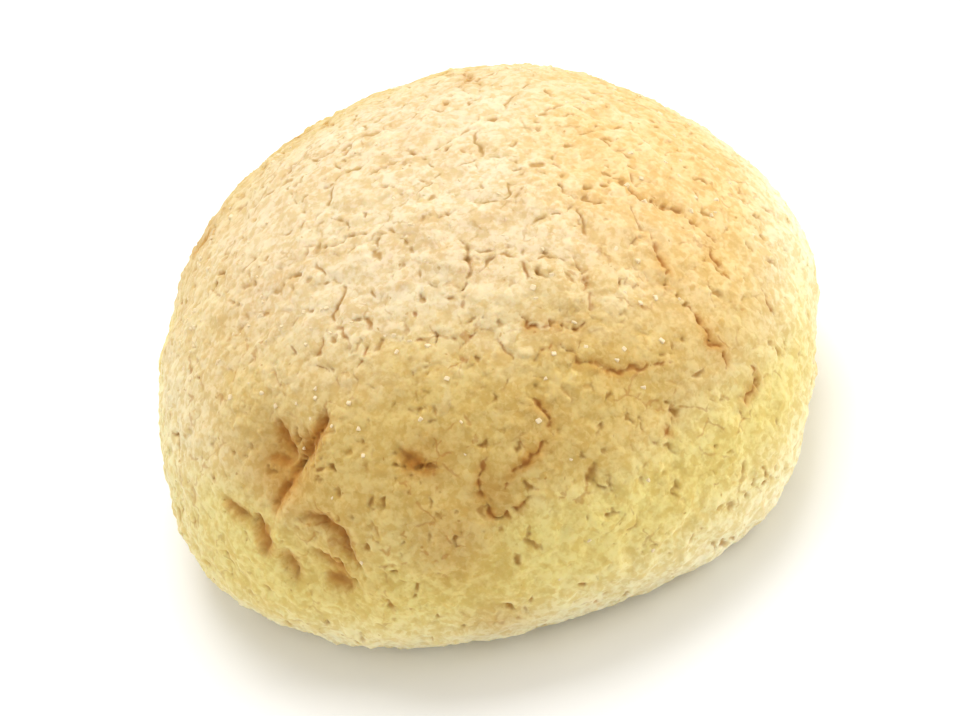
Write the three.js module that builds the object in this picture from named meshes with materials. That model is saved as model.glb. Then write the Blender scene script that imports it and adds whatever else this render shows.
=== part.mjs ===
// Melon pan: a soft round bun baked under a thin sweet cookie crust. It is one solid: a broad
// dome on a flat base, a little lumpy, with the crust's main cracks, creases and folds cut in.
// Millimetres, +Z up. The origin is the middle of the flat base, and -Y is the front.
import * as THREE from 'three';

// ---- driving dimensions ----
const RADIUS = 52.5;        // of the widest ring, seen from above
const HEIGHT = 54;          // of the crown above the base
const WIDEST = 16;          // height of the widest ring above the base
const BASE_SHARE = 0.84;    // radius of the flat base, as a share of RADIUS
const CROWN_POWER = 2;      // roundness of the dome above the widest ring: 2 is an ellipse
const SIDE_POWER = 2.6;     // roundness of the side that tucks under, below the ring

// Facet sizes: the longest edge that is left unsplit
const PLAIN_EDGE = 4.6;
const CRACK_EDGE = 1.8;
const BASE_EDGE = 16;
const FIRST_SEGMENTS = 16;
const FIRST_ROWS = [-1, -0.5, 0, 0.25, 0.5, 0.75, 1];
const SPLIT_PASSES = 7;
const NEAR_CRACK = 0.25;    // an edge nearer to a crack than this share of its length is split

// Grooves: the floor and the rim of one, as shares of its half width
const GROOVE_FLOOR = 0.2;
const GROOVE_RIM = 1.25;

// The elevations between which the side meets the base plane, and the halvings that find it
const BASE_BRACKET = [-45, -5];
const HALVINGS = 24;

// Large unlike factors that scatter the noise numbers
const SCATTER = new THREE.Vector3(127.1, 311.7, 74.7);
const SCATTER_MORE = 43758.5453;

// Places on the bun are [azimuth, elevation] in degrees, seen from the middle of the widest
// ring: azimuth 0 is the front and 90 the right side, elevation 90 is the crown.

// Slow swells (push > 0) and dents (push < 0) that keep the bun from being a perfect dome
const LUMPS = [
  // the left side is flattened, up to the shoulder
  { at: [-100, 15], spread: 30, push: -3.5 },
  // the foot spreads at both front corners, and tucks in between them and under the right side
  { at: [-70, -20], spread: 20, push: 2 },
  { at: [45, -20], spread: 20, push: 3 },
  { at: [0, -20], spread: 20, push: -1 },
  { at: [75, -20], spread: 20, push: -2 },
  // the right side and the back are a little fuller
  { at: [90, 5], spread: 20, push: 1 },
  { at: [130, 35], spread: 20, push: 0.5 },
  { at: [165, 12], spread: 25, push: 0.8 },
  { at: [-150, -5], spread: 20, push: -0.8 },
  // small dents round the folds at the front left, and in the front
  { at: [-45, 23], spread: 7, push: -1.3 },
  { at: [-38, 6], spread: 6, push: -1.0 },
  { at: [-52, 8], spread: 5, push: 0.7 },
  { at: [-5, 24], spread: 9, push: -0.6 },
  { at: [13, 16], spread: 2.4, push: -1.5 },
];

// Cracks and creases: a route over the crust, the width of the groove and its depth
const CRACKS = [
  // the crown
  { route: [[-72, 61], [-66, 63], [-60, 65], [-56, 67], [-50, 69], [-34, 71]], width: 2.0, depth: 1.1 },
  { route: [[-112, 78], [-125, 80], [-160, 82]], width: 1.5, depth: 0.7 },
  { route: [[-128, 57], [-133, 62], [-146, 65]], width: 1.4, depth: 0.6 },
  { route: [[8, 66], [10, 64], [9, 61], [8, 58], [3, 55], [1, 51]], width: 1.6, depth: 0.9 },
  { route: [[39, 50], [36, 46], [34, 43]], width: 1.5, depth: 0.7 },
  // right of the crown
  { route: [[75, 51], [71, 47], [68, 43], [69, 40], [68, 36], [67, 31], [66, 28]], width: 1.8, depth: 1.1 },
  { route: [[57, 39], [53, 36], [48, 33]], width: 1.6, depth: 0.8 },
  { route: [[63, 29], [60, 26], [58, 24]], width: 1.6, depth: 0.8 },
  { route: [[48, 26], [46, 23], [45, 21], [45, 18], [43, 17]], width: 1.8, depth: 1.0 },
  { route: [[48, 14], [48, 11], [44, 10], [41, 9]], width: 1.6, depth: 0.8 },
  // the front shoulder
  { route: [[14, 45], [15, 42], [19, 41], [24, 38], [27, 38]], width: 1.7, depth: 0.9 },
  { route: [[15, 37], [19, 37], [20, 34], [24, 31], [25, 28], [28, 27], [36, 24]], width: 1.8, depth: 1.0 },
  { route: [[8, 31], [9, 28], [9, 24]], width: 1.7, depth: 0.9 },
  { route: [[25, 15], [28, 15], [30, 16], [32, 18]], width: 1.8, depth: 1.0 },
  { route: [[-4, 24], [-6, 20], [-6, 17], [-5, 13], [-1, 15], [2, 17]], width: 2.0, depth: 1.2 },
  { route: [[-2, 17], [0, 20], [3, 22], [7, 23]], width: 1.8, depth: 1.0 },
  { route: [[12, 3], [16, 5], [19, 7]], width: 1.5, depth: 0.6 },
  // folds at the front left, where the soft side sank in
  { route: [[-36, 34], [-38, 28], [-40, 25], [-42, 22], [-43, 20], [-45, 14]], width: 2.6, depth: 2.0 },
  { route: [[-49, 30], [-46, 26], [-43, 22]], width: 2.0, depth: 1.1 },
  { route: [[-56, 14], [-50, 12], [-47, 10], [-47, 7]], width: 2.2, depth: 1.7 },
  { route: [[-43, 8], [-42, 5], [-43, 1]], width: 2.0, depth: 1.0 },
  { route: [[-41, 14], [-37, 15], [-33, 14], [-31, 12], [-28, 6]], width: 2.0, depth: 1.2 },
  { route: [[-39, 9], [-35, 8], [-32, 5], [-30, 3]], width: 2.0, depth: 1.1 },
  // the back
  { route: [[150, 58], [158, 53], [155, 47], [163, 42], [170, 40]], width: 1.7, depth: 0.9 },
  { route: [[-165, 50], [-158, 45], [-160, 39], [-152, 33]], width: 1.7, depth: 0.9 },
  { route: [[120, 30], [126, 27], [133, 28], [139, 24], [138, 18]], width: 1.8, depth: 1.0 },
  { route: [[-118, 34], [-124, 30], [-121, 24], [-128, 19]], width: 1.8, depth: 1.0 },
  { route: [[176, 22], [-178, 18], [-179, 12], [-172, 8]], width: 2.0, depth: 1.1 },
];

// Unevenness of the whole crust: [size of a bump, its height]
const RIPPLES = [[15, 0.55], [7.5, 0.32]];

const CENTRE = new THREE.Vector3(0, 0, WIDEST);

// ---- the surface ----

// The unit direction of a place given in degrees
function direction([azimuth, elevation]) {
  const a = THREE.MathUtils.degToRad(azimuth);
  const e = THREE.MathUtils.degToRad(elevation);
  return new THREE.Vector3(Math.cos(e) * Math.sin(a), -Math.cos(e) * Math.cos(a), Math.sin(e));
}

// Distance from the centre to the smooth dome in a direction: one superellipse above the
// widest ring, another below it that meets the base at BASE_SHARE of the radius
function domeReach(d) {
  const flat = Math.hypot(d.x, d.y) / RADIUS;
  const above = d.z >= 0;
  const power = above ? CROWN_POWER : SIDE_POWER;
  const drop = WIDEST / (1 - BASE_SHARE ** SIDE_POWER) ** (1 / SIDE_POWER);
  const rise = Math.abs(d.z) / (above ? HEIGHT - WIDEST : drop);
  return (flat ** power + rise ** power) ** (-1 / power);
}

// How far the lumps push the dome out in a direction
const lumps = LUMPS.map(({ at, spread, push }) => ({
  towards: direction(at),
  sharpness: 1 / (1 - Math.cos(THREE.MathUtils.degToRad(spread))),
  push,
}));
function lumpHeight(d) {
  let height = 0;
  for (const { towards, sharpness, push } of lumps) {
    height += push * Math.exp(sharpness * (d.dot(towards) - 1));
  }
  return height;
}

// A repeatable number from -1 to 1 for each corner of a lattice
function lattice(x, y, z) {
  const mixed = Math.sin(new THREE.Vector3(x, y, z).dot(SCATTER)) * SCATTER_MORE;
  return 2 * (mixed - Math.floor(mixed)) - 1;
}

// Smooth noise from -1 to 1: lattice numbers blended across each cell
function noise(p) {
  const cell = p.clone().floor();
  const ease = p.clone().sub(cell);
  for (const axis of ['x', 'y', 'z']) {
    ease[axis] = THREE.MathUtils.smoothstep(ease[axis], 0, 1);
  }
  const at = (x, y, z) => lattice(cell.x + x, cell.y + y, cell.z + z);
  const along = (y, z) => THREE.MathUtils.lerp(at(0, y, z), at(1, y, z), ease.x);
  const across = (z) => THREE.MathUtils.lerp(along(0, z), along(1, z), ease.y);
  return THREE.MathUtils.lerp(across(0), across(1), ease.z);
}

// The bun before it is cracked
function softReach(d) {
  const dome = domeReach(d) + lumpHeight(d);
  let reach = dome;
  for (const [size, height] of RIPPLES) {
    reach += height * noise(d.clone().multiplyScalar(dome / size));
  }
  return reach;
}

function softPoint(d) {
  return d.clone().multiplyScalar(softReach(d)).add(CENTRE);
}

// Points a millimetre apart along all the cracks, with the half width and depth there: a crack
// opens quickly from a point at each end
const crackSpots = CRACKS.flatMap(({ route, width, depth }) => {
  const curve = new THREE.CatmullRomCurve3(route.map((corner) => softPoint(direction(corner))));
  const steps = Math.ceil(curve.getLength());
  return curve.getSpacedPoints(steps).map((point, step) => {
    const opening = Math.sqrt(Math.sin(Math.PI * (step + 0.5) / (steps + 1)));
    const at = softPoint(point.sub(CENTRE).normalize());
    return { at, half: opening * width / 2, depth: opening * depth };
  });
});

// Depth of the cracks at a point of the soft surface, and how near the point is to one
function crackAt(point) {
  let depth = 0;
  let gap = Infinity;
  for (const spot of crackSpots) {
    const away = point.distanceTo(spot.at);
    const wall = THREE.MathUtils.smoothstep(away, GROOVE_FLOOR * spot.half, GROOVE_RIM * spot.half);
    gap = Math.min(gap, away - spot.half);
    depth = Math.max(depth, spot.depth * (1 - wall));
  }
  return { depth, gap };
}

// A point of the finished surface
function crustPoint(d) {
  const point = softPoint(d);
  return point.addScaledVector(d, -crackAt(point).depth);
}

// Elevation at which the side meets the base plane, for an azimuth in degrees
function findBaseElevation(azimuth) {
  let [low, high] = BASE_BRACKET;
  for (let step = 0; step < HALVINGS; step += 1) {
    const middle = (low + high) / 2;
    const isAbove = crustPoint(direction([azimuth, middle])).z > 0;
    [low, high] = isAbove ? [low, middle] : [middle, high];
  }
  return (low + high) / 2;
}

// The same, found once for each azimuth
const baseElevations = new Map();
function baseElevation(azimuth) {
  if (!baseElevations.has(azimuth)) {
    baseElevations.set(azimuth, findBaseElevation(azimuth));
  }
  return baseElevations.get(azimuth);
}

// Place on the whole bun of a vertex: level -1 is the middle of the base, 0 its edge and 1
// the crown
function place({ azimuth, level }) {
  if (level === -1) return new THREE.Vector3();
  const edge = baseElevation(azimuth);
  if (level > 0) return crustPoint(direction([azimuth, edge + (90 - edge) * level]));
  const rim = crustPoint(direction([azimuth, edge]));
  return new THREE.Vector3(rim.x * (1 + level), rim.y * (1 + level), 0);
}

// ---- the mesh ----

const vertices = [];
function addVertex(azimuth, level) {
  const vertex = { azimuth, level, pole: Math.abs(level) === 1 };
  vertex.at = place(vertex);
  return vertices.push(vertex) - 1;
}

// A coarse net of rows round the bun, closed by a fan at each pole
function firstTriangles() {
  const rows = FIRST_ROWS.map((level) => {
    if (Math.abs(level) === 1) return [addVertex(0, level)];
    return Array.from({ length: FIRST_SEGMENTS }, (_, k) => addVertex(360 * k / FIRST_SEGMENTS, level));
  });
  const triangles = [];
  for (let r = 0; r + 1 < rows.length; r += 1) {
    const [below, above] = [rows[r], rows[r + 1]];
    for (let k = 0; k < FIRST_SEGMENTS; k += 1) {
      const next = (k + 1) % FIRST_SEGMENTS;
      if (below.length > 1) triangles.push([below[k], below[next], above[next % above.length]]);
      if (above.length > 1) triangles.push([below[k % below.length], above[next], above[k]]);
    }
  }
  return triangles;
}

// Half way between two vertices, the short way round
function middleVertex(a, b) {
  const [first, second] = [vertices[a], vertices[b]];
  const level = (first.level + second.level) / 2;
  if (first.pole) return addVertex(second.azimuth, level);
  if (second.pole) return addVertex(first.azimuth, level);
  const turn = THREE.MathUtils.euclideanModulo(second.azimuth - first.azimuth + 180, 360) - 180;
  return addVertex(THREE.MathUtils.euclideanModulo(first.azimuth + turn / 2, 360), level);
}

// Whether the edge between two vertices is still to be split
function isLong(a, b) {
  const [first, second] = [vertices[a], vertices[b]];
  const length = first.at.distanceTo(second.at);
  if (length <= CRACK_EDGE) return false;
  if (first.level < 0 || second.level < 0) return length > BASE_EDGE;
  if (length > PLAIN_EDGE) return true;
  const middle = first.at.clone().add(second.at).multiplyScalar(0.5);
  return crackAt(middle).gap < NEAR_CRACK * length;
}

// Splits each triangle at its long edges. An edge's new vertex is shared by both triangles.
function splitLongEdges(triangles) {
  const middles = new Map();
  const middle = (a, b) => {
    const key = a < b ? `${a} ${b}` : `${b} ${a}`;
    if (!middles.has(key)) middles.set(key, isLong(a, b) ? middleVertex(a, b) : null);
    return middles.get(key);
  };
  return triangles.flatMap(([a, b, c]) => {
    const turns = [[a, b, c], [b, c, a], [c, a, b]];
    const marks = turns.filter(([p, q]) => middle(p, q) !== null).length;
    if (marks === 0) return [[a, b, c]];
    if (marks === 3) {
      const [ab, bc, ca] = [middle(a, b), middle(b, c), middle(c, a)];
      return [[a, ab, ca], [ab, b, bc], [ca, bc, c], [ab, bc, ca]];
    }
    if (marks === 1) {
      const [p, q, r] = turns.find(([first, second]) => middle(first, second) !== null);
      return [[p, middle(p, q), r], [middle(p, q), q, r]];
    }
    const [p, q, r] = turns.find(([first, second]) => middle(first, second) === null);
    const [qr, rp] = [middle(q, r), middle(r, p)];
    return [[p, q, qr], [p, qr, rp], [rp, qr, r]];
  });
}

function bunGeometry() {
  let triangles = firstTriangles();
  for (let pass = 0; pass < SPLIT_PASSES; pass += 1) {
    triangles = splitLongEdges(triangles);
  }
  const geometry = new THREE.BufferGeometry();
  const positions = vertices.flatMap(({ at }) => at.toArray());
  geometry.setAttribute('position', new THREE.Float32BufferAttribute(positions, 3));
  geometry.setIndex(triangles.flat());
  geometry.computeVertexNormals();
  return geometry;
}

// ---- the object ----

const crust = new THREE.MeshStandardMaterial({
  color: 'rgb(230, 205, 150)',
  roughness: 0.85,
  metalness: 0,
});
const bun = new THREE.Mesh(bunGeometry(), crust);
bun.name = 'bun';

const group = new THREE.Group();
group.add(bun);
export default group;
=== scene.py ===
"""Melon pan: the looks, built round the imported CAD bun.

The cookie crust is one dense skin laid over the CAD form, broken by cracks, folds and pits; the
bread shows underneath, and sugar grains sit on the crust. Lengths are millimetres until a mesh
is made. Places on the bun are (azimuth, elevation) in degrees, seen from the middle of its
widest ring: azimuth 0 is the front, 90 the right side, and elevation 90 the crown.
"""

import math

import bmesh
import bpy
import numpy as np
from mathutils import Matrix, Vector, noise
from mathutils.bvhtree import BVHTree


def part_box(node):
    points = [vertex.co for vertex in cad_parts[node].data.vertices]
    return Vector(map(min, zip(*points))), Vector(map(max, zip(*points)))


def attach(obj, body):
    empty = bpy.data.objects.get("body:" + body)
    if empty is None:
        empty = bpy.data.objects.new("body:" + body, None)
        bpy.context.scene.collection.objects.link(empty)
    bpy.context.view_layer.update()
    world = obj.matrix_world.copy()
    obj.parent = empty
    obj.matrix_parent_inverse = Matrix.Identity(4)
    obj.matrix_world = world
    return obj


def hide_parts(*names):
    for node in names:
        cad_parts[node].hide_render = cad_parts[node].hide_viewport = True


MM = 0.001
SEED = 20240
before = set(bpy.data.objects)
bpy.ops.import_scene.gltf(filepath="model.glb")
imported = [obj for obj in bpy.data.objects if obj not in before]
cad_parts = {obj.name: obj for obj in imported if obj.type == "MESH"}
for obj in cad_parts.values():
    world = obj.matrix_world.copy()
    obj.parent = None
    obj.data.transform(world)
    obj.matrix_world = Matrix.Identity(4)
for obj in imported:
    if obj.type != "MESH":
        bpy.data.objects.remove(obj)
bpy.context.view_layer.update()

# ---------------------------------------------------------------- sizes

low, high = (np.array(corner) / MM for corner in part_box("bun"))
HEIGHT = high[2] - low[2]
WIDEST = 0.297 * HEIGHT          # height of the widest ring
CENTRE = np.array([0.0, 0.0, WIDEST])

COARSE_LEVEL = 7                 # subdivisions of an icosahedron: the CAD form is read here
FINE_LEVEL = 9                   # and the relief is cut here
BUN_RADIUS = 50                  # roughly, to space out the points along a crack
ROUTE_STEP = 0.25
SMOOTHING = 16                   # passes that melt the CAD facets and grooves away
CRUST_FACES = 196000             # triangles kept where the relief needs them

LAP_RADIUS = 0.37 * (high[0] - low[0])  # the crust laps under the base as far as this
UNDERSIDE = -26                  # elevation in degrees; below it the crust is smooth
LAP_THICKNESS = 1.2              # of the crust's edge on the underside
SUGAR_GRAINS = 200

# Stage, light and camera: metres, watts, millimetres of lens and degrees
AIM = Vector((0, 0, 25 * MM))    # what the camera and the lights face
FOCAL = 135.9
CAMERA_DISTANCE = 0.55
CAMERA_ELEVATION = 40
CAMERA_ROLL = 17
AIM_RIGHT = 2.4 * MM             # the camera looks this far beside AIM
AIM_UP = -6.2 * MM
FLOOR_SIZE = 4.0
WORLD_LIGHT = 0.65
KEY_LIGHT = 6.15
RIGHT_LIGHT = 2.6
LEFT_LIGHT = 1.0

# Cracks: route, width, depth, and how brown they are baked
CRACKS = [
    # the crown
    ([(-73, 60), (-70, 62), (-66, 62.5), (-61, 64.5), (-57, 66), (-56, 68), (-49, 69.5), (-34, 71)],
     0.9, 1.0, 0.5),
    ([(-57, 67), (-62, 69.5), (-70, 70), (-80, 68)], 0.5, 0.6, 0.4),
    ([(-112, 78), (-120, 80), (-132, 81), (-150, 82)], 0.7, 0.7, 0.4),
    ([(-128, 57), (-133, 60), (-140, 63), (-150, 64)], 0.5, 0.5, 0.4),
    ([(8, 67), (10, 65), (10.5, 63), (9, 60.5), (8.5, 58), (5, 56.5), (3, 54.5), (1, 52.5), (1, 50.5)],
     0.7, 0.8, 0.4),
    ([(39, 50.5), (37, 47.5), (36, 45.5), (34, 43), (32, 42)], 0.5, 0.6, 0.5),
    ([(60, 67), (52, 66), (44, 65.5)], 0.5, 0.5, 0.5),
    ([(54, 53), (50, 52), (47, 52)], 0.5, 0.5, 0.4),
    ([(116, 43), (110, 45), (106, 49)], 0.5, 0.5, 0.4),
    ([(-10, 75), (6, 73), (18, 74)], 0.45, 0.5, 0.4),
    # right of the crown
    ([(75, 51), (73, 48.5), (70, 46), (68, 43), (69, 41), (69, 38.5), (68.5, 35), (67, 31), (66, 28)],
     0.8, 0.9, 0.9),
    ([(58, 40), (55, 38), (53, 36), (49, 33), (46, 32)], 0.7, 0.7, 1.0),
    ([(64, 29.5), (61, 27.5), (59, 24.5)], 0.8, 0.8, 0.9),
    ([(47, 28), (47, 26), (46, 23.5), (44.5, 21.5), (45.5, 20), (45, 18), (43, 16.5)], 0.8, 0.8, 1.0),
    ([(48, 14.5), (48, 11), (44.5, 10.5), (42, 9.5), (41, 8)], 0.6, 0.7, 0.8),
    ([(63, 18), (61, 16), (60, 13.5)], 0.8, 0.8, 0.5),
    ([(77, 21), (74, 19), (72, 17)], 0.7, 0.7, 0.4),
    # the front shoulder
    ([(14, 45.5), (15, 43.5), (15, 42), (19, 41), (23, 38), (27, 37.5)], 0.7, 0.8, 0.8),
    ([(15, 37), (17, 37.5), (19, 37), (20, 35), (20, 33), (23.5, 31), (24.5, 28.5), (27, 27.5), (31, 26),
      (36, 24)], 0.8, 0.8, 0.8),
    ([(8, 31.5), (9, 29.5), (9.5, 27), (9, 24)], 0.8, 0.8, 0.8),
    ([(24.5, 15), (27, 15), (29.5, 15.5), (31, 17), (32, 18.5)], 0.8, 0.8, 0.8),
    ([(-3.5, 24), (-5.5, 21), (-6, 18.5), (-6, 16.5), (-5, 14), (-4, 13.5), (-1, 14.5), (2, 16)],
     0.9, 1.0, 1.0),
    ([(-2, 17.5), (-1, 19), (0, 20.5), (3, 21.5), (7, 23), (9, 24)], 0.7, 0.8, 1.0),
    ([(12, 3), (13.5, 4), (16, 5), (18, 6.5)], 0.5, 0.5, 0.3),
    ([(26, 3), (24, 6), (25, 9)], 0.5, 0.5, 0.4),
    # the back
    ([(150, 58), (155, 56), (158, 53), (156, 49), (159, 45), (163, 42), (170, 40)], 0.8, 0.9, 0.7),
    ([(-165, 50), (-160, 47), (-158, 43), (-160, 39), (-155, 36), (-152, 33)], 0.8, 0.9, 0.7),
    ([(120, 30), (124, 29), (126, 27), (133, 28), (139, 24), (138, 18)], 0.9, 0.9, 0.9),
    ([(-118, 34), (-124, 30), (-121, 24), (-126, 21), (-128, 17)], 0.9, 0.9, 0.9),
    ([(176, 22), (179, 20), (-178, 17), (-179, 12), (-172, 8)], 0.9, 1.0, 0.9),
    ([(100, 20), (104, 16), (101, 11)], 0.7, 0.8, 0.6),
    ([(-150, 14), (-146, 9), (-149, 4)], 0.7, 0.8, 0.6),
]

# Folds where the soft side sank in as it baked: as cracks, but broad and rounded; the last number sets how
# brown their painted shade is
FOLDS = [
    ([(-36, 34), (-36, 31), (-38, 28), (-40, 25), (-42, 22)], 1.9, 1.9, 1.0),
    ([(-41.5, 23.5), (-43, 20), (-45, 16), (-45, 13)], 1.5, 1.3, 0.9),
    ([(-49, 30), (-47.5, 28), (-46, 26), (-44, 24), (-43, 22)], 1.5, 1.1, 0.9),
    ([(-50, 22), (-46, 22.5), (-43, 21.5)], 1.3, 0.8, 0.9),
    ([(-57, 14), (-55, 13), (-52, 12), (-49.5, 11.5)], 1.2, 1.0, 0.7),
    ([(-50, 13), (-48.5, 11.5), (-47.5, 10.5), (-46.5, 9), (-47, 6)], 1.8, 1.6, 0.9),
    ([(-41, 14), (-37.5, 15.5), (-33.5, 14.5), (-31.5, 13), (-31, 11), (-30, 9), (-28, 6)], 1.5, 1.3, 0.8),
    ([(-39, 9.5), (-35.5, 8), (-33.5, 7), (-32, 5), (-30, 3.5)], 1.4, 1.1, 0.8),
    ([(-43.5, 9), (-43, 7), (-42, 4), (-42.5, 1)], 1.7, 1.0, 0.7),
    ([(-37, 4.5), (-34, 4), (-31, 2.5)], 2.2, 1.0, 0.9),
    ([(-20, 28), (-17.5, 25.5), (-15, 24), (-12, 23.5)], 1.6, 0.9, 0.9),
    ([(108, 14), (112, 10), (111, 4)], 1.6, 0.9, 0.6),
    ([(-170, 30), (-174, 27), (-173, 23)], 1.8, 0.9, 0.8),
    ([(-98, 26), (-102, 22), (-101, 17), (-104, 13)], 1.6, 1.2, 0.7),
]

# Ridges pushed up beside the folds: route, width, height
RIDGES = [
    ([(-34, 32), (-36, 27), (-38, 22)], 2.8, 0.7),
    ([(-43, 18), (-44, 12), (-45, 6)], 2.4, 0.7),
    ([(-37, 12), (-34, 10), (-31, 5)], 2.2, 0.6),
    ([(-98, 13), (-97, 20), (-95, 26)], 3.0, 0.6),
]

# Broad dents: place, spread in degrees, depth
DENTS = [
    ((-46, 24), 6, 1.3), ((-36, 9), 8, 0.9), ((-13, 23), 7, 0.9), ((-4, 15), 5, 0.7),
    ((30, 20), 7, 0.6), ((46, 36), 5, 0.5), ((126, 24), 8, 1.0), ((-110, 20), 8, 1.0),
    ((-176, 18), 8, 1.0), ((-150, 42), 7, 0.6),
]

# Single pits: place, length, width, turn of the long side from upright in degrees, depth
PITS = [
    ((13, 16), 3.4, 2.4, 27, 1.3),
    ((12.5, 19), 1.6, 0.9, -3, 0.7),
    ((-3.5, 26), 2.0, 0.9, 57, 0.8),
    ((-9, 45.5), 2.6, 0.5, 12, 0.5),
    ((-33, 51), 2.2, 0.8, 80, 0.6),
    ((-66, 55), 2.4, 1.0, 47, 0.8),
    ((-70, 60), 1.2, 0.9, 0, 0.6),
    ((-3, 6.5), 2.4, 1.1, 0, 0.8),
    ((-12, 12), 2.2, 1.1, 0, 0.8),
    ((17.5, 21.5), 2.4, 1.2, 57, 0.9),
    ((21.5, 25.5), 2.0, 0.9, 67, 0.7),
    ((31.5, 16.5), 1.8, 1.0, 42, 0.8),
    ((80, 46), 1.6, 1.1, 0, 0.9),
    ((82, 32), 2.2, 0.9, -8, 0.8),
    ((85, 35), 1.4, 0.8, -3, 0.7),
    ((24, 37.5), 1.6, 1.2, 70, 0.8),
    ((48, 30), 1.4, 1.0, 0, 0.7),
    ((-35.5, 22.5), 1.8, 1.2, 7, 0.9),
    ((-31.5, 20.5), 1.6, 1.0, 0, 0.8),
    ((-27, 11.5), 1.5, 1.2, 0, 0.9),
    ((-23, 7.5), 2.0, 0.9, 57, 0.8),
    ((-15, 18), 1.8, 0.8, 0, 0.7),
    ((-16, 13), 2.6, 0.7, 2, 0.7),
    ((5.5, -2), 1.6, 1.0, 0, 0.8),
    ((4, -6), 1.6, 0.9, 67, 0.8),
    ((-3, -2), 2.0, 0.8, 47, 0.7),
    ((33, -3), 2.4, 1.6, 0, 0.7),
    ((25, 7), 2.0, 1.4, 0, 0.6),
    ((-160, 58), 1.4, 0.9, 0, 0.7),
    ((-104, 63), 1.1, 0.8, 0, 0.6),
    ((-88, 66), 1.3, 0.8, 0, 0.6),
    ((-62, 74), 1.4, 0.7, 7, 0.6),
    ((66, 54), 1.5, 0.8, -43, 0.7),
    ((-20, 25), 2.0, 0.9, -43, 0.8),
    ((-15, 24), 1.4, 0.9, 80, 0.7),
    ((0, 40.5), 1.3, 0.9, -43, 0.7),
]
LOOSE_PITS = 1150                # smaller pits scattered over the side, fewer on the crown

# Brown patches, partly baked colour and partly painted shade in the dents and folds: place, spread in
# degrees, strength
STAINS_AND_HOLLOW_SHADE = [
    ((-44, 22), 9, 0.9), ((-4, 17), 6, 0.7), ((-14, 26), 8, 0.55), ((46, 22), 5, 0.5),
    ((26, 30), 8, 0.45), ((24, 37), 5, 0.5), ((-38, 10), 9, 0.5), ((50, 34), 5, 0.4),
    ((24, 8), 4, 0.35), ((73, 49), 4, 0.5), ((8, 27), 8, 0.5), ((130, 26), 9, 0.6),
    ((-123, 26), 9, 0.6), ((-176, 20), 10, 0.6), ((156, 50), 7, 0.4), ((92, 24), 8, 0.35),
    ((-150, 38), 8, 0.4), ((-32, 9), 13, 0.6), ((-12, 9), 11, 0.65), ((-9, -5), 9, 0.6),
    ((-50, 18), 9, 0.5), ((-100, 20), 9, 0.5),
]


# ---------------------------------------------------------------- small helpers


def direction(azimuth, elevation):
    """Unit vectors of places given in degrees."""
    a, e = np.radians(azimuth), np.radians(elevation)
    return np.stack([np.cos(e) * np.sin(a), -np.cos(e) * np.cos(a), np.sin(e)], -1)


def elevation_of(ways):
    return np.degrees(np.arcsin(np.clip(ways[:, 2], -1, 1)))


def smoothstep(x, start, end):
    t = np.clip((x - start) / (end - start), 0, 1)
    return t * t * (3 - 2 * t)


def sampled(function, points):
    return np.array([function(p) for p in points.tolist()])


def perlin(points, size, shift=0.0):
    """Smooth noise, about -1 to 1, with bumps of that size."""
    return sampled(noise.noise, points / size + shift)


def cells(points, size):
    """Worley noise: distances to the three nearest cell centres, and a number per cell."""
    found = [noise.voronoi(p) for p in (points / size).tolist()]
    near, following, third = (np.array([f[0][k] for f in found]) * size for k in range(3))
    own = np.array([f[1][0] for f in found])
    label = np.sin(own @ np.array([12.99, 78.23, 37.72])) * 43758.5453
    return near, following, third, label - np.floor(label)


# ---------------------------------------------------------------- the bare form


def icosahedron():
    gold = (1 + math.sqrt(5)) / 2
    corners = []
    for a in (-1, 1):
        for b in (-gold, gold):
            corners += [(0, a, b), (a, b, 0), (b, 0, a)]
    corners = np.array(corners) / math.hypot(1, gold)
    faces = []
    longest = 2 / math.hypot(1, gold) * 1.01
    for i in range(12):
        for j in range(i + 1, 12):
            for k in range(j + 1, 12):
                a, b, c = corners[i], corners[j], corners[k]
                sides = np.linalg.norm(a - b), np.linalg.norm(b - c), np.linalg.norm(c - a)
                if max(sides) < longest:
                    outward = np.dot(np.cross(b - a, c - a), a) > 0
                    faces.append((i, j, k) if outward else (i, k, j))
    return corners, np.array(faces)


def edges_of(faces):
    pairs = np.sort(np.concatenate([faces[:, [0, 1]], faces[:, [1, 2]], faces[:, [2, 0]]]), axis=1)
    keys = pairs[:, 0] * (faces.max() + 1) + pairs[:, 1]
    _, first, back = np.unique(keys, return_index=True, return_inverse=True)
    return pairs[first], back.reshape(3, -1)


def subdivided(ways, faces, reach):
    """Each triangle becomes four; new vertices lie half way along the edges."""
    edges, back = edges_of(faces)
    middle = ways[edges].sum(1)
    middle /= np.linalg.norm(middle, axis=1, keepdims=True)
    ab, bc, ca = (back[k] + len(ways) for k in range(3))
    a, b, c = faces.T
    quarters = (a, ab, ca), (ab, b, bc), (ca, bc, c), (ab, bc, ca)
    split = np.concatenate([np.stack(quarter, 1) for quarter in quarters])
    return np.concatenate([ways, middle]), split, np.concatenate([reach, reach[edges].mean(1)])


def smoothed(values, faces, passes):
    """Averages each vertex with its neighbours."""
    edges, _ = edges_of(faces)
    a, b = edges.T
    count = np.bincount(a, minlength=len(values)) + np.bincount(b, minlength=len(values))
    for _ in range(passes):
        total = np.bincount(a, values[b], len(values)) + np.bincount(b, values[a], len(values))
        values = (values + total / count) / 2
    return values


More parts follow.
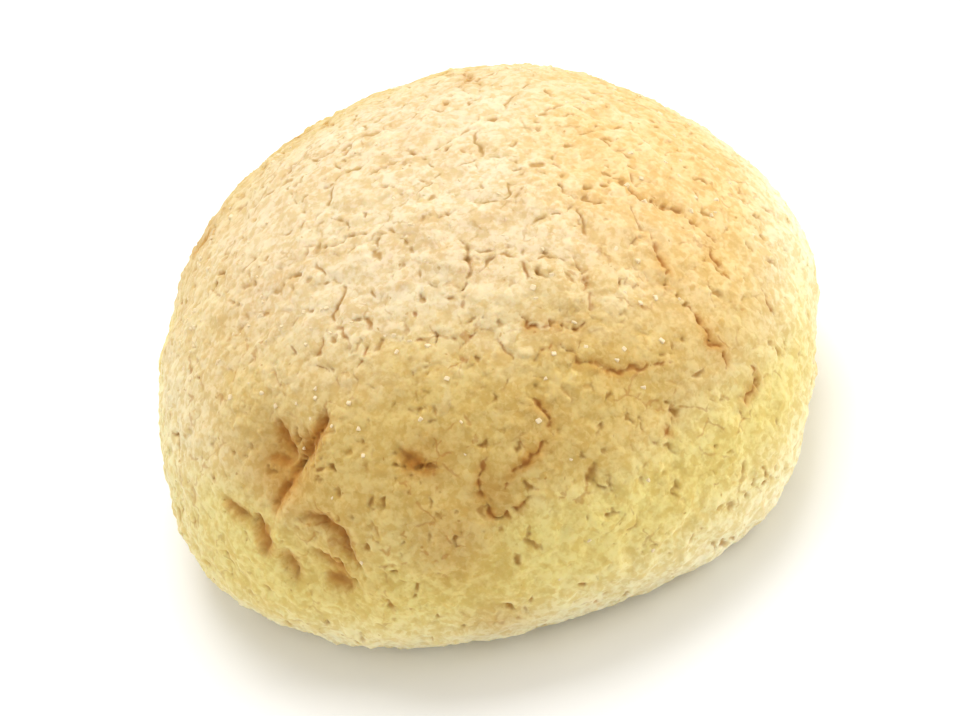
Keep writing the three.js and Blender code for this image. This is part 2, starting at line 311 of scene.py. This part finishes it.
def bare_form():
    """Directions, triangles and distances from the centre: the CAD solid, melted smooth. Also a
    function that reads the distance in any direction."""
    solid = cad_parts["bun"].data
    tree = BVHTree.FromPolygons(
        [v.co / MM for v in solid.vertices], [tuple(p.vertices) for p in solid.polygons])
    ways, faces = icosahedron()
    reach = np.zeros(len(ways))
    for _ in range(COARSE_LEVEL - 1):
        ways, faces, reach = subdivided(ways, faces, reach)
    origin = Vector(CENTRE)
    reach = np.array([tree.ray_cast(origin, Vector(d))[3] for d in ways.tolist()])
    reach = smoothed(reach, faces, SMOOTHING)
    known_ways, known_reach = ways.T.copy(), reach.copy()

    def reach_at(asked):
        return np.array([known_reach[np.argmax(one @ known_ways)] for one in asked])

    for _ in range(FINE_LEVEL - COARSE_LEVEL):
        ways, faces, reach = subdivided(ways, faces, reach)
        reach = smoothed(reach, faces, 2)
    return ways, faces, reach, reach_at


# ---------------------------------------------------------------- relief


def route_points(route, reach_at):
    """Points ROUTE_STEP apart along a crack, on the CAD surface."""
    corners = direction(*np.array(route, float).T)
    points = []
    for a, b in zip(corners, corners[1:]):
        count = max(2, math.ceil(np.linalg.norm(b - a) * BUN_RADIUS / ROUTE_STEP))
        points += [a + (b - a) * k / count for k in range(count)]
    points = np.array(points + [corners[-1]])
    points /= np.linalg.norm(points, axis=1, keepdims=True)
    return points * reach_at(points)[:, None]


def nearest(points, spots, radius):
    """For the points within radius of any spot: their index, distance and nearest spot."""
    middle = spots.mean(0)
    span = np.linalg.norm(spots - middle, axis=1).max() + radius
    close = np.where(((points - middle) ** 2).sum(1) < span ** 2)[0]
    best = np.full(len(close), np.inf)
    which = np.zeros(len(close), int)
    for k, spot in enumerate(spots):
        away = ((points[close] - spot) ** 2).sum(1)
        nearer = away < best
        best[nearer] = away[nearer]
        which[nearer] = k
    best = np.sqrt(best)
    kept = best < radius
    return close[kept], best[kept], which[kept]


def loose_pits(random):
    """Small pits scattered over the crust: most on the side, fewest on the crown."""
    pits = []
    while len(pits) < LOOSE_PITS:
        azimuth = random.uniform(-180, 180)
        up = math.degrees(math.asin(random.uniform(-0.3, 1)))
        wanted = 1.0 if up < 30 else 0.6 if up < 50 else 0.5
        if random.random() > wanted:
            continue
        width = 0.45 + 0.8 * random.random() ** 2
        length = width * random.uniform(1.0, 3.0)
        pits.append(((azimuth, up), length, width, random.normal(0, 50), random.uniform(0.4, 0.8) * width))
    return pits


def hill(ways, place, spread):
    """A bump of height 1 round a place, that many degrees wide to each side."""
    off = np.degrees(np.arccos(np.clip(ways @ direction(*place), -1, 1))) / spread
    return np.exp(-off ** 2)


class Relief:
    """The crust's relief and marks at a set of places."""

    def __init__(self, ways, reach, reach_at):
        self.ways = ways
        self.reach_at = reach_at
        self.points = ways * reach[:, None]
        self.up = elevation_of(ways)
        self.height = np.zeros(len(ways))
        self.crack_and_fold_shade = np.zeros(len(ways))
        self.pit = np.zeros(len(ways))
        self.stain_and_hollow_shade = np.zeros(len(ways))
        wander = np.stack([perlin(self.points, 1.5, shift) for shift in (3.7, 11.3, 23.9)], 1)
        self.wandered = self.points + 0.6 * wander
        self.ragged = perlin(self.points, 0.7, 33.0)
        self.crown = smoothstep(self.up, 30, 52)
        self.side = 1 - smoothstep(self.up, 6, 24)

    def plates(self):
        """Broad plates that the crust broke into, and the flakes on them."""
        bend = np.stack([perlin(self.points, 5.0, shift) for shift in (5.1, 15.2, 27.3)], 1)
        near, following, third, label = cells(self.wandered + 1.6 * bend, 8.5)
        gap = (following - near) / 2 + 0.08 * self.ragged
        shown = smoothstep(perlin(self.points, 7.0, 41.0), -0.3, 0.0)
        dashes = smoothstep(perlin(self.points, 1.7, 61.0), -0.3, 0.05)
        parted = smoothstep((third - near) / 2, 0.1, 0.7)
        strength = shown * dashes * parted * (0.5 + 0.5 * self.crown) * (1 - 0.3 * self.side)
        width = 0.15 + 0.25 * strength
        line = (1 - smoothstep(gap, 0.0, width)) * strength
        self.height += 0.26 * smoothstep(gap, 0, 2.2)
        self.height += 0.3 * (label - 0.5) * smoothstep(gap, 0.1, 0.9) * self.crown
        self.height -= 0.28 * line
        self.crack_and_fold_shade = np.maximum(self.crack_and_fold_shade, line)
        self.plate = label
        near, following, _, label = cells(self.wandered + 0.5 * bend + 50.0, 2.9)
        edge = smoothstep((following - near) / 2, 0, 0.34)
        flaky = 0.25 + 0.75 * smoothstep(self.up, 18, 40)
        self.height += flaky * edge * (0.05 + 0.17 * (label - 0.4))
        self.flake = label * flaky

    def grain(self):
        """Unevenness of the dough, coarse to fine, and the crumbs baked into it."""
        rough = 0.65 + 0.6 * np.exp(-((self.up - 32) / 16) ** 2)
        for size, tall, shift in ((5.0, 0.28, 71.0), (2.3, 0.22, 73.0), (1.1, 0.13, 79.0)):
            self.height += tall * (1 + 0.7 * self.side) * perlin(self.points, size, shift)
        patchy = np.clip(0.65 + 0.9 * perlin(self.points, 6.0, 87.0), 0.15, 1.2)
        fine = np.zeros(len(self.points))
        half_wandered = self.points + 0.5 * (self.wandered - self.points)
        for size, tall, shift in ((1.7, 0.30, 7.0), (0.95, 0.20, 19.0)):
            near, _, _, label = cells(half_wandered + shift, size)
            fine += tall * (0.3 + label) * (1 - smoothstep(near, 0, 0.62 * size))
        self.crumb = fine * rough * patchy
        self.height += self.crumb

    def push(self, lines, dents):
        """Raises ridges along their routes and presses the dents in."""
        for route, width, height in lines:
            spots = route_points(route, self.reach_at)
            which, away, spot = nearest(self.points, spots, 2 * width)
            opening = np.sin(np.pi * (spot + 0.5) / len(spots)) ** 0.6
            self.height[which] += height * opening * np.exp(-(away / width * 1.6) ** 2)
        for place, spread, depth in dents:
            self.height -= depth * hill(self.ways, place, spread)

    def fold(self, lines):
        """Presses the rounded folds in, with painted shade: brown at the bottom and round each fold."""
        for route, width, depth, brown in lines:
            spots = route_points(route, self.reach_at)
            which, away, spot = nearest(self.points, spots, 2.5 * width + 1)
            opening = np.sin(np.pi * (spot + 0.5) / len(spots)) ** 0.5
            half = opening * width / 2 * (1 + 0.8 * perlin(spots, 2.0, 31.0)[spot])
            away = np.maximum(away + 0.45 * self.ragged[which], 0)
            slope = np.exp(-(away / (0.75 * half + 0.35)) ** 1.5)
            lumpy = 0.9 * perlin(self.points[which], 1.5, 53.0) + 0.3 * self.ragged[which]
            self.height[which] -= opening * slope * (depth + lumpy)
            # Painted shade: the bottom of the fold takes the crack colour, and round it the stain colour.
            floor = opening * np.exp(-(away / (0.5 * half + 0.25)) ** 2)
            self.crack_and_fold_shade[which] = np.maximum(self.crack_and_fold_shade[which], 0.8 * brown * floor)
            blur = opening * np.exp(-(away / (half + 1.2)) ** 2)
            self.stain_and_hollow_shade[which] = np.maximum(self.stain_and_hollow_shade[which], brown * blur)

    def cut(self, lines):
        """Cuts thin ragged cracks along their routes."""
        for route, width, depth, brown in lines:
            spots = route_points(route, self.reach_at)
            which, away, spot = nearest(self.wandered, spots, 2 * width + 2)
            opening = np.sin(np.pi * (spot + 0.5) / len(spots)) ** 0.4
            uneven = np.clip(1.0 + 1.4 * perlin(spots, 1.3, 31.0)[spot], 0.3, 1.7)
            half = opening * width * 0.42 * uneven
            away = np.maximum(away + 0.2 * self.ragged[which], 0)
            share = 1 - smoothstep(away, 0.1 * half, half + 0.22)
            lip = np.exp(-((away - half - 0.35) / 0.4) ** 2) * opening
            self.height[which] += 0.05 * lip - opening * depth * share * 0.5
            deep = np.clip(0.25 + 0.75 * uneven, 0, 1)
            self.crack_and_fold_shade[which] = np.maximum(self.crack_and_fold_shade[which], share * deep * (0.6 + 0.4 * brown))
            blur = 0.75 * brown * np.exp(-(away / 1.5) ** 2) * opening * deep
            self.stain_and_hollow_shade[which] = np.maximum(self.stain_and_hollow_shade[which], blur)

    def sink(self, pits):
        """Sinks single pits into the crust."""
        middles = direction(*np.array([place for place, *_ in pits], float).T)
        distances = self.reach_at(middles)
        for (_, length, width, turn, depth), way, distance in zip(pits, middles, distances):
            reachable = math.cos((length + 0.6) / distance)
            which = np.where(self.ways @ way > reachable)[0]
            across = np.cross([0, 0, 1], way)
            across /= np.linalg.norm(across)
            upright = np.cross(way, across)
            angle = math.radians(turn)
            long_way = math.cos(angle) * upright + math.sin(angle) * across
            wide_way = np.cross(long_way, way)
            offset = self.wandered[which] - way * distance
            off = np.hypot(offset @ long_way / (length / 2), offset @ wide_way / (width / 2))
            off = np.maximum(off + 0.9 / max(1, width) * self.ragged[which], 0)
            self.height[which] -= 0.6 * depth * (1 - smoothstep(off, 0.1, 1.25))
            halo = (0.35 + 0.65 * min(depth, 1)) * (1 - smoothstep(off, 0.0, 1.5))
            self.pit[which] = np.maximum(self.pit[which], halo)

    def bake(self):
        """Where the crust is baked brown or golden, where rim light is painted pale along its foot and
        side edges, and where warm light is painted on its right side.
        """
        turn = np.degrees(np.arctan2(self.ways[:, 0], -self.ways[:, 1]))
        drift = 6 * perlin(self.points, 16.0, 95.0)
        front = np.exp(-((turn + 5) / 52) ** 2)
        back = 0.7 * np.exp(-((np.abs(turn) - 165) / 40) ** 2)
        off = self.up + drift - 24
        band = np.exp(-(off / np.where(off > 0, 23, 16)) ** 2)
        self.brown = band * (0.35 + 0.65 * np.maximum(front, back))
        self.gold = 1 - smoothstep(self.up + drift, 0, 26)
        # Painted rim light: paler along the foot and by the side edges, where light wraps round the bun.
        self.painted_rim_light = 1 - smoothstep(self.up - 4 * np.sin(np.radians(turn)), -17, 4)
        right_rim_light = np.exp(-((turn - 92) / 24) ** 2) * (1 - smoothstep(self.up, 12, 34))
        left_rim_light = np.exp(-((turn + 84) / 20) ** 2) * (1 - smoothstep(self.up, 14, 40))
        self.painted_rim_light = np.maximum(self.painted_rim_light, np.maximum(right_rim_light, 0.5 * left_rim_light))
        # Painted light: a warm tint on the right side, where the light falls.
        self.painted_right_light = np.exp(-((turn - 88) / 46) ** 2) * smoothstep(self.up, 4, 34)
        self.painted_right_light *= 1 - smoothstep(self.up, 48, 80)
        # Brown patches from the list: partly baked colour, partly painted shade in the dents and folds.
        for place, spread, strength in STAINS_AND_HOLLOW_SHADE:
            self.stain_and_hollow_shade = np.maximum(self.stain_and_hollow_shade, 0.7 * strength * hill(self.ways, place, spread))


def crust_relief(ways, reach, reach_at, pits):
    """The relief of every direction above the underside, in the order given."""
    relief = Relief(ways, reach, reach_at)
    relief.grain()
    relief.plates()
    relief.push(RIDGES, DENTS)
    relief.fold(FOLDS)
    relief.cut(CRACKS)
    relief.sink(pits)
    relief.bake()
    return relief


# ---------------------------------------------------------------- meshes


def mesh_object(name, points, faces, smooth=True):
    """A mesh of triangles from points in millimetres."""
    mesh = bpy.data.meshes.new(name)
    mesh.vertices.add(len(points))
    mesh.vertices.foreach_set("co", (points * MM).astype(np.float32).ravel())
    mesh.loops.add(faces.size)
    mesh.loops.foreach_set("vertex_index", faces.astype(np.int32).ravel())
    mesh.polygons.add(len(faces))
    mesh.polygons.foreach_set("loop_start", np.arange(0, faces.size, 3, dtype=np.int32))
    mesh.polygons.foreach_set("use_smooth", np.full(len(faces), smooth))
    mesh.update(calc_edges=True)
    mesh.validate()
    piece = bpy.data.objects.new(name, mesh)
    bpy.context.scene.collection.objects.link(piece)
    return piece


def mark(piece, name, values):
    layer = piece.data.attributes.new(name, "FLOAT", "POINT")
    layer.data.foreach_set("value", values.astype(np.float32))


def decimated(piece, faces_kept):
    """Collapses the flattest places until that many triangles are left."""
    modifier = piece.modifiers.new("collapse", "DECIMATE")
    modifier.ratio = faces_kept / len(piece.data.polygons)
    graph = bpy.context.evaluated_depsgraph_get()
    kept = bpy.data.meshes.new_from_object(piece.evaluated_get(graph))
    piece.modifiers.clear()
    spare = piece.data
    piece.data = kept
    bpy.data.meshes.remove(spare)
    kept.name = piece.name


def lap_edge(turns):
    """Radius of the crust's ragged edge on the underside, at angles in radians."""
    ring = np.stack([np.cos(turns), np.sin(turns), np.zeros(len(turns))], 1) * LAP_RADIUS
    return LAP_RADIUS + 1.4 * perlin(ring, 9.0) + 0.6 * perlin(ring, 2.5)


def make_crust(ways, faces, reach, relief, outer):
    fade = smoothstep(ways[outer, 2] * reach[outer] + WIDEST, 0.0, 1.6)
    points = ways * reach[:, None]
    points[outer] += ways[outer] * (relief.height * fade)[:, None]
    points += CENTRE
    points[:, 2] = np.maximum(points[:, 2], 0)
    under = np.where((points[:, 2] < 0.5) & (ways[:, 2] < 0))[0]
    across = np.hypot(points[under, 0], points[under, 1])
    edge = lap_edge(np.arctan2(points[under, 1], points[under, 0]))
    inside = 1 - smoothstep(across, edge - 0.9, edge)
    points[under, 2] = np.maximum(points[under, 2], inside * LAP_THICKNESS)
    piece = mesh_object("cookie_crust", points, faces)
    marks = {"crack_and_fold_shade": relief.crack_and_fold_shade * fade, "pit": relief.pit * fade}
    for name in ("stain_and_hollow_shade", "plate", "flake", "crumb", "brown", "gold", "painted_rim_light", "painted_right_light"):
        marks[name] = getattr(relief, name)
    for name, values in marks.items():
        # Away from the relief, on the underside, the gold and the painted rim light are full.
        everywhere = np.full(len(points), float(name in ("gold", "painted_rim_light")))
        everywhere[outer] = values
        mark(piece, name, everywhere)
    decimated(piece, CRUST_FACES)
    return piece, points[outer]


def make_bread():
    """The bare bread inside the crust's edge on the underside: a flat disc with a pored face."""
    rings, turns = 90, 420
    shares = (np.arange(rings) + 1) / rings
    angles = 2 * np.pi * np.arange(turns) / turns
    edge = lap_edge(angles) + 0.12
    radius = shares[:, None] * edge[None, :]
    flat = np.stack([radius * np.cos(angles), radius * np.sin(angles), np.zeros_like(radius)], 2)
    flat = flat.reshape(-1, 3)
    flat = np.concatenate([[[0, 0, 0]], flat])
    away = np.hypot(flat[:, 0], flat[:, 1])
    relief = 0.10 + 0.10 * perlin(flat, 6.0, 5.0) + 0.06 * perlin(flat, 1.6, 9.0)
    near, _, _, label = cells(flat, 4.2)
    pore = (1 - smoothstep(near, 0.25, 0.75)) * (label > 0.45)
    flat[:, 2] = np.maximum(relief, 0) + 0.5 * pore
    flat[:, 2] += 0.5 * smoothstep(away, LAP_RADIUS - 1.5, LAP_RADIUS + 1.5)
    lid = flat[-turns:].copy()
    lid[:, 2] = LAP_THICKNESS - 0.1
    points = np.concatenate([flat, lid, [[0, 0, LAP_THICKNESS - 0.1]]])
    now = np.arange(turns)
    then = (now + 1) % turns
    faces = [np.stack([np.zeros(turns, int), then + 1, now + 1], 1)]
    for ring in range(rings):
        inner, outer = 1 + ring * turns, 1 + (ring + 1) * turns
        faces.append(np.stack([inner + now, inner + then, outer + then], 1))
        faces.append(np.stack([inner + now, outer + then, outer + now], 1))
    top = len(points) - 1
    first = top - turns
    faces.append(np.stack([np.full(turns, top), first + now, first + then], 1))
    piece = mesh_object("bread_base", points, np.concatenate(faces))
    mark(piece, "pore", np.concatenate([pore, np.zeros(turns + 1)]))
    return piece


def chamfered_box():
    """A unit box with cut corners and edges, as corner points and triangles."""
    cut = 0.30
    corners = []
    for signs in np.ndindex(2, 2, 2):
        corner = 0.5 - np.array(signs)
        for axis in range(3):
            inset = np.full(3, 1 - cut)
            inset[axis] = 1
            corners.append(corner * inset)
    corners = np.array(corners)
    shell = bmesh.new()
    for corner in corners:
        shell.verts.new(corner)
    bmesh.ops.convex_hull(shell, input=shell.verts)
    bmesh.ops.triangulate(shell, faces=shell.faces)
    shell.verts.index_update()
    points = np.array([v.co[:] for v in shell.verts])
    faces = np.array([[v.index for v in face.verts] for face in shell.faces])
    shell.free()
    return points, faces


def make_sugar(points, relief, random):
    """Sugar crystals bedded in the crust, thickest on the shoulder."""
    grain, faces = chamfered_box()
    chance = 0.1 + np.exp(-((relief.up - 36) / 12) ** 2) + 0.25 * relief.crown
    chance *= np.clip(0.6 + 1.4 * perlin(relief.points, 9.0, 90.0), 0.05, 2)
    chance *= (relief.crack_and_fold_shade < 0.2) & (relief.pit < 0.2) & (relief.up > -8)
    chosen = random.choice(len(points), SUGAR_GRAINS, replace=False, p=chance / chance.sum())
    size = random.uniform(0.5, 0.8, SUGAR_GRAINS)
    stretch = random.uniform(0.75, 1.2, (SUGAR_GRAINS, 3))
    spin = random.normal(size=(SUGAR_GRAINS, 4))
    w, x, y, z = (spin / np.linalg.norm(spin, axis=1, keepdims=True)).T
    turn = np.stack([
        1 - 2 * (y * y + z * z), 2 * (x * y - w * z), 2 * (x * z + w * y),
        2 * (x * y + w * z), 1 - 2 * (x * x + z * z), 2 * (y * z - w * x),
        2 * (x * z - w * y), 2 * (y * z + w * x), 1 - 2 * (x * x + y * y)], 1).reshape(-1, 3, 3)
    bodies = np.einsum("nij,nkj->nki", turn, grain[None] * stretch[:, None] * size[:, None, None])
    sunk = random.uniform(-0.45, -0.25, SUGAR_GRAINS) * size
    seat = points[chosen] + relief.ways[chosen] * sunk[:, None]
    joined = (bodies + seat[:, None]).reshape(-1, 3)
    offsets = len(grain) * np.arange(SUGAR_GRAINS)
    joined_faces = (faces[None] + offsets[:, None, None]).reshape(-1, 3)
    return mesh_object("sugar_grains", joined, joined_faces, smooth=False)


# ---------------------------------------------------------------- materials


def paint(red, green, blue):
    """Linear colour of screen values from 0 to 255."""
    return tuple(((value / 255 + 0.055) / 1.055) ** 2.4 for value in (red, green, blue)) + (1,)


class Finish:
    """A material and short ways to add nodes to it."""

    def __init__(self, name, **sockets):
        self.material = bpy.data.materials.new(name)
        self.material.use_nodes = True
        self.tree = self.material.node_tree
        self.shader = self.tree.nodes["Principled BSDF"]
        for socket, value in sockets.items():
            self.shader.inputs[socket.replace("_", " ")].default_value = value

    def node(self, kind, inputs=(), **settings):
        made = self.tree.nodes.new(kind)
        for name, value in settings.items():
            setattr(made, name, value)
        for name, value in dict(inputs).items():
            if isinstance(value, bpy.types.NodeSocket):
                self.tree.links.new(value, made.inputs[name])
            else:
                made.inputs[name].default_value = value
        return made

    def place(self):
        return self.node("ShaderNodeNewGeometry").outputs["Position"]

    def mark(self, name):
        return self.node("ShaderNodeAttribute", attribute_name=name).outputs["Fac"]

    def noise(self, size, detail=2.0, rough=0.5):
        """Noise from 0 to 1 with bumps of that size in millimetres."""
        return self.node("ShaderNodeTexNoise", {
            "Vector": self.place(), "Scale": 0.6 / (size * MM), "Detail": detail,
            "Roughness": rough}).outputs["Fac"]

    def sum(self, *parts):
        """Adds (value, factor) pairs."""
        total = None
        for value, factor in parts:
            scaled = self.product(value, factor)
            total = scaled if total is None else self.node(
                "ShaderNodeMath", {0: total, 1: scaled}, operation="ADD").outputs[0]
        return total

    def between(self, value, start, end, low=0.0, high=1.0):
        return self.node("ShaderNodeMapRange", {
            "Value": value, "From Min": start, "From Max": end, "To Min": low, "To Max": high},
            interpolation_type="SMOOTHSTEP").outputs["Result"]

    def blend(self, share, under, over, how="MIX"):
        """One colour laid over another; sockets 6, 7 and 2 are the node's colours in and out."""
        return self.node("ShaderNodeMix", {"Factor": share, 6: under, 7: over},
                         data_type="RGBA", blend_type=how).outputs[2]

    def bump(self, height, distance, strength=1.0):
        made = self.node("ShaderNodeBump", {
            "Height": height, "Distance": distance * MM, "Strength": strength})
        self.tree.links.new(made.outputs["Normal"], self.shader.inputs["Normal"])

    def product(self, first, second):
        return self.node("ShaderNodeMath", {0: first, 1: second}, operation="MULTIPLY").outputs[0]

    def bent_place(self, bend):
        """Places moved about by up to that many millimetres."""
        drift = self.node("ShaderNodeTexNoise", {
            "Vector": self.place(), "Scale": 0.4 / (bend * MM), "Detail": 2.0})
        moved = self.node("ShaderNodeVectorMath", {
            0: drift.outputs["Color"], 1: (2 * bend * MM,) * 3, 2: self.place()},
            operation="MULTIPLY_ADD")
        return moved.outputs[0]

    def cells(self, feature, places, size):
        """A Voronoi texture with cells of that size in millimetres."""
        return self.node("ShaderNodeTexVoronoi", {
            "Vector": places, "Scale": 1 / (size * MM)}, feature=feature)

    def lines(self, places, size, width):
        """1 on wavering thin lines between cells, 0 away from them."""
        gap = self.cells("DISTANCE_TO_EDGE", places, size).outputs["Distance"]
        return self.between(gap, 0.0, width / size, 1.0, 0.0)

    def specks(self, places, size, radius):
        """1 on small ragged spots in every other cell or so, 0 away from them."""
        found = self.cells("F1", places, size)
        spot = self.between(found.outputs["Distance"], 0.3 * radius / size, radius / size, 1.0, 0.0)
        return self.product(spot, self.between(found.outputs["Color"], 0.40, 0.75))

    def feed(self, socket, value):
        self.tree.links.new(value, self.shader.inputs[socket])


CREAM = paint(229, 206, 168)
PALE = paint(233, 216, 181)
TAN = paint(219, 191, 120)
# baked stains, and painted shade in the dents and folds
DEEP_TAN = paint(194, 143, 66)
GOLD = paint(233, 215, 138)
# painted rim light along the foot and the side edges
PAINTED_RIM_LIGHT = paint(246, 239, 204)
# painted warm light on the right side
PAINTED_RIGHT_LIGHT = paint(238, 199, 130)
# darker mottling, and painted shade between the crumbs
DARK_MOTTLE_AND_HOLLOW_SHADE = paint(237, 226, 200)
# paler mottling and flakes, and painted light on the crumbs' tops
PALE_MOTTLE_AND_BUMP_LIGHT = paint(240, 229, 190)
CRACK_PALE = paint(184, 146, 82)
CRACK_BROWN = paint(172, 110, 46)
PIT_BROWN = paint(178, 129, 58)
SUGAR = paint(232, 208, 160)
BASE_BROWN = paint(186, 128, 62)
BASE_PALE = paint(222, 184, 120)


def crust_finish():
    finish = Finish(
        "cookie_crust", Roughness=0.85, IOR=1.42, Specular_IOR_Level=0.25,
        Sheen_Weight=0.35, Sheen_Roughness=0.3, Sheen_Tint=paint(255, 246, 220),
        Subsurface_Weight=0.35, Subsurface_Radius=(1.0, 0.6, 0.3), Subsurface_Scale=1.6 * MM)
    bent = finish.bent_place(0.8)
    granule = finish.cells("F1", bent, 0.95)
    patches = finish.noise(14.0, 2.0)
    mottle = finish.noise(3.2, 3.0, 0.6)
    grit = finish.noise(1.2, 2.0, 0.6)
    speck = finish.noise(0.55, 2.0, 0.6)
    brown = finish.mark("brown")
    gold = finish.mark("gold")
    pale_share = finish.between(finish.sum((patches, 0.6), (mottle, 0.4)), 0.36, 0.64)
    colour = finish.blend(pale_share, CREAM, PALE)
    share = finish.sum((brown, 1.0), (mottle, 0.30), (patches, 0.2), (finish.mark("plate"), 0.12))
    colour = finish.blend(finish.between(share, 0.30, 1.15), colour, TAN)
    golden = finish.sum((gold, 1.0), (patches, 0.3), (mottle, 0.15))
    colour = finish.blend(finish.between(golden, 0.35, 1.1), colour, GOLD)
    # Painted rim light along the foot and the side edges.
    colour = finish.blend(finish.mark("painted_rim_light"), colour, PAINTED_RIM_LIGHT)
    # Deep tan where the crust is stained, and painted shade in the dents and folds.
    stain_and_shade_share = finish.sum((finish.mark("stain_and_hollow_shade"), 1.0), (mottle, 0.35))
    colour = finish.blend(finish.between(stain_and_shade_share, 0.25, 1.1), colour, DEEP_TAN)
    # Painted warm light on the right side.
    colour = finish.blend(finish.between(finish.mark("painted_right_light"), 0, 1, 0, 0.6), colour, PAINTED_RIGHT_LIGHT)
    # Random mottling, with the crumbs' relief: painted shade between the crumbs and painted light on their
    # tops.
    mottle_and_crumb_light = finish.sum((mottle, 0.2), (grit, 0.35), (speck, 0.3), (granule.outputs["Color"], 0.12),
                      (finish.mark("crumb"), 0.2))
    colour = finish.blend(finish.between(mottle_and_crumb_light, 0.40, 0.58, 1.0, 0.0), colour, DARK_MOTTLE_AND_HOLLOW_SHADE, "MULTIPLY")
    colour = finish.blend(finish.between(mottle_and_crumb_light, 0.56, 0.78, 0.0, 0.3), colour, PALE_MOTTLE_AND_BUMP_LIGHT)
    colour = finish.blend(finish.between(finish.mark("flake"), 0.6, 1.0, 0.0, 0.25), colour, PALE_MOTTLE_AND_BUMP_LIGHT)
    colour = finish.blend(finish.between(finish.mark("pit"), 0.15, 1.0, 0.0, 0.9), colour, PIT_BROWN)
    groove = finish.blend(finish.between(share, 0.2, 0.8), CRACK_PALE, CRACK_BROWN)
    specks = finish.specks(bent, 2.6, 0.34)
    colour = finish.blend(finish.between(specks, 0.0, 1.0, 0.0, 0.6), colour, PIT_BROWN)
    crackle = finish.lines(bent, 5.2, 0.34)
    here = finish.between(finish.noise(6.0, 1.0), 0.48, 0.62)
    dashed = finish.between(finish.noise(0.9, 1.0), 0.44, 0.58)
    crackle = finish.product(finish.product(crackle, here), dashed)
    colour = finish.blend(finish.between(crackle, 0.0, 1.0, 0.0, 0.42), colour, groove)
    # The cracks' own colour, and painted shade at the bottoms of the folds.
    colour = finish.blend(finish.between(finish.mark("crack_and_fold_shade"), 0.1, 1.0, 0.0, 0.85), colour, groove)
    finish.feed("Base Color", colour)
    rough = finish.sum((grit, 0.6), (granule.outputs["Distance"], -0.4), (speck, 0.3), (crackle, -0.3),
                       (specks, -0.4))
    finish.bump(rough, 0.25, 0.5)
    return finish.material


def bread_finish():
    finish = Finish("bread_base", Roughness=0.75, IOR=1.4, Specular_IOR_Level=0.3)
    patches = finish.noise(9.0, 4.0, 0.6)
    colour = finish.blend(finish.between(patches, 0.38, 0.62), BASE_BROWN, BASE_PALE)
    colour = finish.blend(finish.between(finish.mark("pore"), 0.1, 0.8, 0.0, 0.5), colour, BASE_PALE)
    finish.feed("Base Color", colour)
    finish.bump(finish.sum((finish.noise(1.2, 3.0), 0.7), (finish.noise(0.4, 2.0), 0.3)), 0.2, 0.6)
    return finish.material


def sugar_finish():
    finish = Finish("sugar_grains", IOR=1.5, Specular_IOR_Level=0.4)
    colour = finish.blend(finish.noise(1.5), SUGAR, paint(240, 220, 180))
    finish.feed("Base Color", colour)
    finish.feed("Roughness", finish.between(finish.noise(0.8), 0.35, 0.65, 0.35, 0.7))
    return finish.material


# ---------------------------------------------------------------- stage, light and camera


def floor_finish():
    finish = Finish("floor", Roughness=0.9, Specular_IOR_Level=0.1)
    finish.feed("Base Color", finish.blend(finish.noise(60.0), paint(250, 250, 250), paint(253, 253, 253)))
    return finish.material


def make_floor():
    half = FLOOR_SIZE / MM / 2
    corners = np.array([(-half, -half, 0), (half, -half, 0), (half, half, 0), (-half, half, 0)], float)
    floor = mesh_object("floor", corners, np.array([(0, 1, 2), (0, 2, 3)]))
    floor.data.materials.append(floor_finish())


def area_light(name, place, size, power):
    """A soft square light, in metres, that faces the bun."""
    lamp = bpy.data.lights.new(name, "AREA")
    lamp.size = size
    lamp.energy = power
    stand = bpy.data.objects.new(name, lamp)
    stand.location = place
    stand.rotation_euler = (AIM - Vector(place)).to_track_quat("-Z", "Y").to_euler()
    bpy.context.scene.collection.objects.link(stand)


def make_lights():
    world = bpy.data.worlds.new("studio")
    world.use_nodes = True
    world.node_tree.nodes["Background"].inputs["Color"].default_value = (1.0, 0.99, 0.97, 1)
    world.node_tree.nodes["Background"].inputs["Strength"].default_value = WORLD_LIGHT
    bpy.context.scene.world = world
    area_light("overhead", (0.05, 0.35, 0.87), 0.6, KEY_LIGHT)
    area_light("right_fill", (0.8, -0.1, 0.25), 0.5, RIGHT_LIGHT)
    area_light("left_fill", (-0.8, -0.1, 0.25), 0.5, LEFT_LIGHT)
    bpy.context.scene.view_settings.view_transform = "Standard"


def make_camera():
    """A view from the front, looking down, with the camera rolled."""
    lens = bpy.data.cameras.new("camera")
    lens.sensor_width = 36
    lens.lens = FOCAL
    camera = bpy.data.objects.new("camera", lens)
    tilt = math.radians(CAMERA_ELEVATION)
    back = Vector((0, -math.cos(tilt), math.sin(tilt)))
    right = Vector((1, 0, 0))
    up = back.cross(right)
    roll = Matrix.Rotation(math.radians(-CAMERA_ROLL), 3, back)
    right, up = roll @ right, roll @ up
    aim = AIM + AIM_RIGHT * right + AIM_UP * up
    turned = Matrix((right, up, back)).transposed().to_4x4()
    camera.matrix_world = Matrix.Translation(aim + CAMERA_DISTANCE * back) @ turned
    bpy.context.scene.collection.objects.link(camera)
    bpy.context.scene.camera = camera


# ---------------------------------------------------------------- the scene

random = np.random.default_rng(SEED)
ways, faces, reach, reach_at = bare_form()
pits = PITS + loose_pits(random)
outer = np.where(elevation_of(ways) > UNDERSIDE)[0]
relief = crust_relief(ways[outer], reach[outer], reach_at, pits)
crust, surface = make_crust(ways, faces, reach, relief, outer)
crust.data.materials.append(crust_finish())
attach(crust, "root")
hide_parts("bun")

bread = make_bread()
bread.data.materials.append(bread_finish())
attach(bread, "root")

sugar = make_sugar(surface, relief, random)
sugar.data.materials.append(sugar_finish())
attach(sugar, "root")

make_floor()
make_lights()
make_camera()
